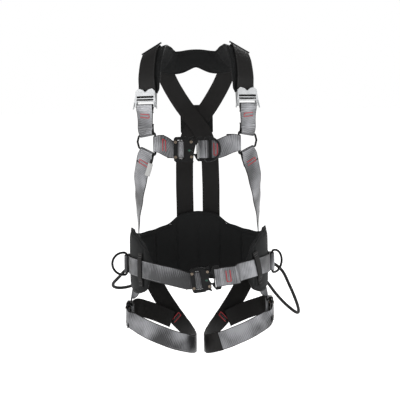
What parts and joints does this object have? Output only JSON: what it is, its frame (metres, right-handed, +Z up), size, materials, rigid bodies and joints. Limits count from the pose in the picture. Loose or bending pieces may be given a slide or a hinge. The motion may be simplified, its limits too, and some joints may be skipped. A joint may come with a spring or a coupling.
{
  "type": "safety harness",
  "caption": "Full body fall arrest harness with padded shoulder yoke, chest strap, waist belt with back pad, leg loops and quick connect buckles.",
  "frame": {"origin": "between the shoulder tops, where the harness hangs on the wearer", "axes": "+Z up, +X to the wearer's left, -Y to the wearer's front"},
  "size_m": [0.4882, 0.2989, 0.7748],
  "materials": {
    "grey_webbing": "woven",
    "black_webbing": "woven",
    "pad_fabric": "matte",
    "black_metal": "satin",
    "bright_metal": "satin",
    "spring_steel": "satin",
    "rivet_bronze": "satin",
    "cord_sleeve": "braided",
    "tag": "matte"
  },
  "bodies": {
    "harness": {"chest_buckle_base_plate": "black_metal", "chest_buckle_cover_plate": "black_metal", "waist_buckle_base_plate": "black_metal", "waist_buckle_cover_plate": "black_metal", "leg_left_buckle_base_plate": "black_metal", "leg_left_buckle_cover_plate": "black_metal", "leg_right_buckle_base_plate": "black_metal", "leg_right_buckle_cover_plate": "black_metal", "buckle_rivets": "rivet_bronze", "lever_springs": "spring_steel", "buckle_web_bars": "spring_steel", "chest_strap_right": "grey_webbing", "chest_strap_left": "grey_webbing", "waist_belt": "grey_webbing", "waist_belt_tongue_side": "grey_webbing", "belt_ring_loops": "grey_webbing", "waist_pad_belt_loops": "black_webbing", "torso_links": "black_metal", "adjuster_bars": "bright_metal", "shoulder_sliders": "black_metal", "shoulder_yoke_pad": "pad_fabric", "waist_pad": "pad_fabric", "dorsal_plate": "black_metal", "label_tag": "tag", "adjuster_frame_left": "bright_metal", "front_strap_left": "grey_webbing", "shoulder_strap_left": "black_webbing", "side_strap_left": "grey_webbing", "leg_strap_left": "grey_webbing", "thigh_strap_left": "grey_webbing", "gear_loop_left": "cord_sleeve", "adjuster_frame_right": "bright_metal", "front_strap_right": "grey_webbing", "shoulder_strap_right": "black_webbing", "side_strap_right": "grey_webbing", "leg_strap_right": "grey_webbing", "thigh_strap_right": "grey_webbing", "gear_loop_right": "cord_sleeve"},
    "chest_lever_upper": {"chest_buckle_lever_upper": "black_metal"},
    "chest_lever_lower": {"chest_buckle_lever_lower": "black_metal"},
    "chest_tongue": {"chest_buckle_tongue": "black_metal", "chest_ring_keeper": "black_metal"},
    "waist_lever_upper": {"waist_buckle_lever_upper": "black_metal"},
    "waist_lever_lower": {"waist_buckle_lever_lower": "black_metal"},
    "waist_tongue": {"waist_buckle_tongue": "black_metal"},
    "leg_left_lever_upper": {"leg_left_buckle_lever_upper": "black_metal"},
    "leg_left_lever_lower": {"leg_left_buckle_lever_lower": "black_metal"},
    "leg_left_tongue": {"leg_left_buckle_tongue": "black_metal"},
    "leg_right_lever_upper": {"leg_right_buckle_lever_upper": "black_metal"},
    "leg_right_lever_lower": {"leg_right_buckle_lever_lower": "black_metal"},
    "leg_right_tongue": {"leg_right_buckle_tongue": "black_metal"},
    "chest_d_ring": {"chest_d_ring": "black_metal"},
    "side_d_ring_left": {"side_d_ring_left": "black_metal"},
    "side_d_ring_right": {"side_d_ring_right": "black_metal"},
    "dorsal_d_ring": {"dorsal_d_ring": "black_metal"}
  },
  "joints": [
    {"name": "chest_lever_upper_squeeze", "type": "hinge", "parent": "harness", "child": "chest_lever_upper", "pos_m": [-0.0513, -0.131, -0.2212], "axis": [0, -1, 0], "range_deg": [-5, 0], "stiffness_Nm_per_rad": 0.3},
    {"name": "chest_lever_lower_squeeze", "type": "hinge", "parent": "harness", "child": "chest_lever_lower", "pos_m": [-0.0513, -0.131, -0.2568], "axis": [0, -1, 0], "range_deg": [0, 5], "stiffness_Nm_per_rad": 0.3},
    {"name": "chest_tongue_slide", "type": "slide", "parent": "harness", "child": "chest_tongue", "axis": [1, 0, 0], "range_m": [0, 0.022], "deforming": ["chest_strap_left"]},
    {"name": "waist_lever_upper_squeeze", "type": "hinge", "parent": "harness", "child": "waist_lever_upper", "pos_m": [-0.01733, -0.133, -0.53756], "axis": [0, -1, 0], "range_deg": [-5, 0], "stiffness_Nm_per_rad": 0.3},
    {"name": "waist_lever_lower_squeeze", "type": "hinge", "parent": "harness", "child": "waist_lever_lower", "pos_m": [-0.01299, -0.133, -0.5729], "axis": [0, -1, 0], "range_deg": [0, 5], "stiffness_Nm_per_rad": 0.3},
    {"name": "waist_tongue_slide", "type": "slide", "parent": "harness", "child": "waist_tongue", "axis": [0.9925, 0, 0.1219], "range_m": [0, 0.022], "deforming": ["waist_belt_tongue_side"]},
    {"name": "leg_left_lever_upper_squeeze", "type": "hinge", "parent": "harness", "child": "leg_left_lever_upper", "pos_m": [0.178, 0.0133, -0.6292], "axis": [1, 0, 0], "range_deg": [0, 5], "stiffness_Nm_per_rad": 0.3},
    {"name": "leg_left_lever_lower_squeeze", "type": "hinge", "parent": "harness", "child": "leg_left_lever_lower", "pos_m": [0.178, 0.0133, -0.6648], "axis": [1, 0, 0], "range_deg": [-5, 0], "stiffness_Nm_per_rad": 0.3},
    {"name": "leg_left_tongue_slide", "type": "slide", "parent": "harness", "child": "leg_left_tongue", "axis": [0, -1, 0], "range_m": [0, 0.022], "deforming": ["leg_strap_left"]},
    {"name": "leg_right_lever_upper_squeeze", "type": "hinge", "parent": "harness", "child": "leg_right_lever_upper", "pos_m": [-0.178, 0.0133, -0.6372], "axis": [-1, 0, 0], "range_deg": [-5, 0], "stiffness_Nm_per_rad": 0.3},
    {"name": "leg_right_lever_lower_squeeze", "type": "hinge", "parent": "harness", "child": "leg_right_lever_lower", "pos_m": [-0.178, 0.0133, -0.6728], "axis": [-1, 0, 0], "range_deg": [0, 5], "stiffness_Nm_per_rad": 0.3},
    {"name": "leg_right_tongue_slide", "type": "slide", "parent": "harness", "child": "leg_right_tongue", "axis": [0, -1, 0], "range_m": [0, 0.022], "deforming": ["leg_strap_right"]},
    {"name": "chest_d_ring_swing", "type": "hinge", "parent": "chest_tongue", "child": "chest_d_ring", "pos_m": [0.0191, -0.1335, -0.239], "axis": [0, 0, -1], "range_deg": [-7, 88]},
    {"name": "side_d_ring_left_swing", "type": "hinge", "parent": "harness", "child": "side_d_ring_left", "pos_m": [0.1841, 0.004, -0.53], "axis": [0, 0, -1], "range_deg": [-35, 125]},
    {"name": "side_d_ring_right_swing", "type": "hinge", "parent": "harness", "child": "side_d_ring_right", "pos_m": [-0.182, 0.004, -0.53], "axis": [0, 0, 1], "range_deg": [-80, 80]},
    {"name": "dorsal_d_ring_swing", "type": "hinge", "parent": "harness", "child": "dorsal_d_ring", "pos_m": [0, 0.14, -0.172], "axis": [1, 0, 0], "range_deg": [0, 150]}
  ]
}
